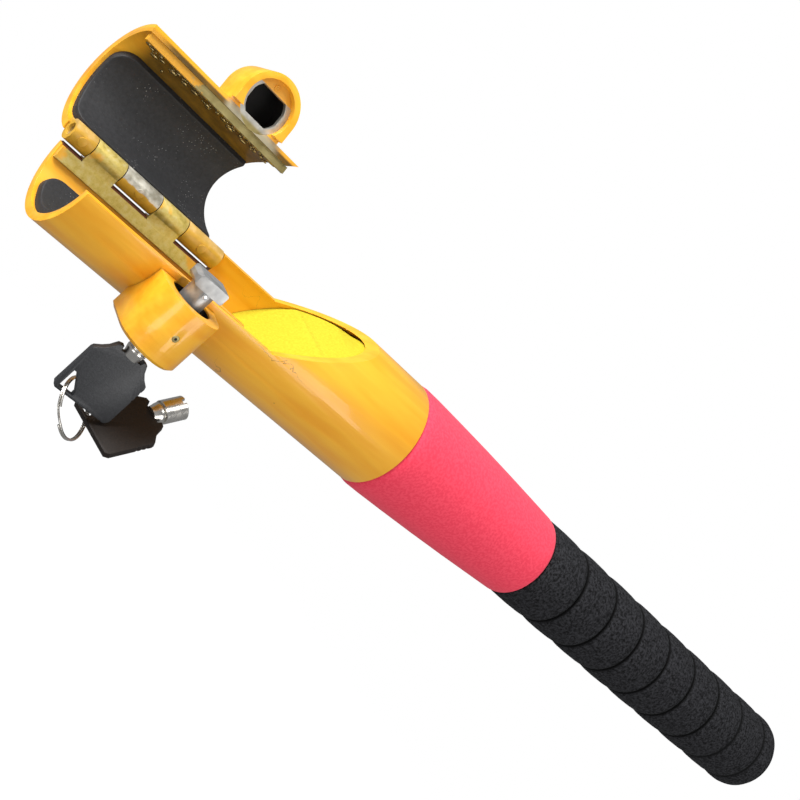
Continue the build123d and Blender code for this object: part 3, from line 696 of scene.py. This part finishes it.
def key_shank():
    # A thin neck with a collar, then the tube, with two notches cut through its tip.
    shank = spun([(r * MM, 0, z * MM) for r, z in shank_neck + shank_tube], (0, 0, 0), (0, 0, 1),
                 SHANK_STEPS)

    def corner_at(step, radius, height):
        angle = 2 * math.pi * step / SHANK_STEPS
        spot = Vector((radius * math.cos(angle), radius * math.sin(angle), height)) * MM
        return min(shank.verts, key=lambda v: (v.co - spot).length)

    for notch_start in (11, 35):
        steps = range(notch_start, notch_start + NOTCH_STEPS + 1)
        inner = [[corner_at(i, TIP_BORE, z) for i in steps] for z in (NOTCH_FROM, TIP_END)]
        outer = [[corner_at(i, TIP_OUTSIDE, z) for i in steps] for z in (NOTCH_FROM, TIP_END)]
        wanted = set(inner[0] + inner[1] + outer[0] + outer[1])
        doomed = [f for f in shank.faces if all(v in wanted for v in f.verts)]
        bmesh.ops.delete(shank, geom=doomed, context="FACES_ONLY")
        for i in range(NOTCH_STEPS):
            shank.faces.new((outer[0][i], outer[0][i + 1], inner[0][i + 1], inner[0][i]))
        for i in (0, NOTCH_STEPS):
            shank.faces.new((outer[0][i], outer[1][i], inner[1][i], inner[0][i]))
        loose = [e for e in shank.edges if not e.link_faces]
        bmesh.ops.delete(shank, geom=loose, context="EDGES")
    lonely = [v for v in shank.verts if not v.link_faces]
    bmesh.ops.delete(shank, geom=lonely, context="VERTS")
    bmesh.ops.recalc_face_normals(shank, faces=shank.faces)
    return shank


turns = [Matrix.Rotation(math.radians(a), 4, axis)
         for a, axis in ((-29.6, "X"), (45.8, "Y"), (-47.9, "Z"))]
in_lock = Matrix.Translation((12.0 * MM, -30.5 * MM, -29.6 * MM))
on_ring = (Matrix.Translation((40.03 * MM, -22.74 * MM, -44.5 * MM)) @ turns[0] @ turns[1]
           @ turns[2])
for prefix, body, placed, plastic in (("key", "key", in_lock, key_plastic),
                                      ("spare", "spare_key", on_ring, spare_plastic_shaded)):
    for part, shape, finish, slot in (("bow", key_bow(), plastic, "key_plastic"),
                                      ("shank", key_shank(), nickel, "nickel")):
        bmesh.ops.transform(shape, matrix=placed, verts=shape.verts)
        key_piece = add_piece(prefix + "_" + part + "_piece", shape, body, finish)
        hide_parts(prefix + "_" + part)

# Split ring. Spring steel wire wound twice and nickel plated, with a jog where the first turn
# crosses to the second. It hangs in the holes of both bows.
RING_RADIUS, WIRE_HALF, WIRE_LIFT = 10.79 * MM, 0.48 * MM, 0.4 * MM
ring_normal = Vector((-0.486, 0.554, -0.676)).normalized()
wire = bmesh.new()
section = bmesh.ops.create_circle(wire, cap_ends=False, segments=14, radius=WIRE_HALF)["verts"]
bmesh.ops.scale(wire, verts=section, vec=(1.0, 0.78, 1.0))
bmesh.ops.rotate(wire, verts=section, cent=(0, 0, 0), matrix=Matrix.Rotation(math.pi / 2, 3, "X"))
bmesh.ops.translate(wire, verts=section, vec=(RING_RADIUS, 0, -WIRE_LIFT))
bmesh.ops.contextual_create(wire, geom=wire.edges[:])
front = wire.verts[:] + wire.edges[:]
for sweep, steps, climb in ((326.0, 72, 0.0), (34.0, 12, 2 * WIRE_LIFT), (326.0, 72, 0.0)):
    wound = bmesh.ops.spin(wire, geom=front, cent=(0, 0, 0), axis=(0, 0, 1),
                           dvec=(0, 0, climb / steps), angle=math.radians(sweep), steps=steps)
    front = wound["geom_last"]
bmesh.ops.holes_fill(wire, edges=[e for e in wire.edges if e.is_boundary])
bmesh.ops.recalc_face_normals(wire, faces=wire.faces)
lie = (Matrix.Translation((12.22 * MM, -30.36 * MM, -58.21 * MM))
       @ ring_normal.to_track_quat("Z", "Y").to_matrix().to_4x4())
bmesh.ops.transform(wire, matrix=lie, verts=wire.verts)
wire_piece = add_piece("split_ring_wire", wire, "ring", nickel, 50)
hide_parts("split_ring")


# Handle. A steel tube inside two foam sleeves that are pushed over it: a tapered red one and a
# grooved black grip whose end is closed.
def turned_foam(profile, steps=112):
    # Spins a profile of (distance along the tube, radius), in mm, about the tube's axis.
    return spun([(x * MM, r * MM, 0) for x, r in profile], (0, 0, 0), (1, 0, 0), steps)


red_profile = [(128.7, 12.8), (128.7, 22.6), (129.0, 23.5), (130.2, 24.2), (133.0, 24.6),
               (140.0, 24.5), (155.0, 24.0), (175.0, 23.2), (195.0, 22.2), (212.0, 21.2),
               (222.0, 20.6), (227.0, 20.3), (228.4, 20.0), (229.0, 19.3), (229.0, 12.8),
               (128.7, 12.8)]
# Neoprene foam: strong pinkish red and soft-looking, with a short nap that is barely lighter.
red_foam = material_named("red_neoprene_foam", "#FF4D63", 0.9, extra={
    "Sheen Weight": 0.12, "Sheen Roughness": 0.5, "Sheen Tint": linear("#FFB0B8")})
nap = noise(red_foam, 900.0, 4.0)
feed(red_foam, "Base Color", mixed(red_foam, band(red_foam, nap, 0.38, 0.62), "#F43A54",
                                   "#FD4860"))
bumped(red_foam, nap, 0.5, 0.12 * MM)
red_piece = add_piece("red_foam_sleeve", turned_foam(red_profile), "body", red_foam,
                      60)
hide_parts("red_sleeve")

GROOVES, SHALLOW_GROOVES = 8, 2
GROOVE_FIRST, GROOVE_PITCH = 256.8, 24.73
grip_profile = [(229.3, 12.8), (229.3, 18.6), (229.6, 19.4), (230.6, 19.9)]
for i in range(GROOVES):
    groove = GROOVE_FIRST + i * GROOVE_PITCH
    floor_radius = 18.1 if i < GROOVES - SHALLOW_GROOVES else 19.1
    grip_profile += [(groove - 14.0, 20.15), (groove - 6.0, 20.0), (groove - 2.4, 19.7),
                     (groove - 0.8, 19.3), (groove - 0.35, floor_radius),
                     (groove + 0.35, floor_radius), (groove + 0.8, 19.3),
                     (groove + 2.4, 19.8), (groove + 5.0, 20.05)]
grip_profile += [(438.5, 20.0), (441.5, 19.4), (444.0, 18.0), (445.4, 15.6), (446.0, 12.5),
                 (446.2, 8.0), (446.2, 0.0)]
# Closed-cell foam: charcoal black, pitted like pumice, and painted blacker down in the grooves
# as their shade.
black_foam = material_named("black_closed_cell_foam", "#39393B", 0.9,
                            extra={"Specular IOR Level": 0.2})
place = add_node(black_foam, "ShaderNodeTexCoord").outputs["Object"]
pits = noise(black_foam, 800.0, 5.0, place, 0.75)
skin = mixed(black_foam, band(black_foam, pits, 0.38, 0.62), "#060607", "#343437")
# Painted shade: near black wherever the surface dips into a groove.
out_of_painted_groove_shade = band(black_foam, off_axis(black_foam, place), 19.0 * MM, 19.7 * MM)
feed(black_foam, "Base Color", mixed(black_foam, out_of_painted_groove_shade, "#050505", skin))
bumped(black_foam, pits, 1.0, 0.4 * MM)
grip_piece = add_piece("black_foam_grip", turned_foam(grip_profile, 96), "body", black_foam,
                       60)
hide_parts("grip_foam")
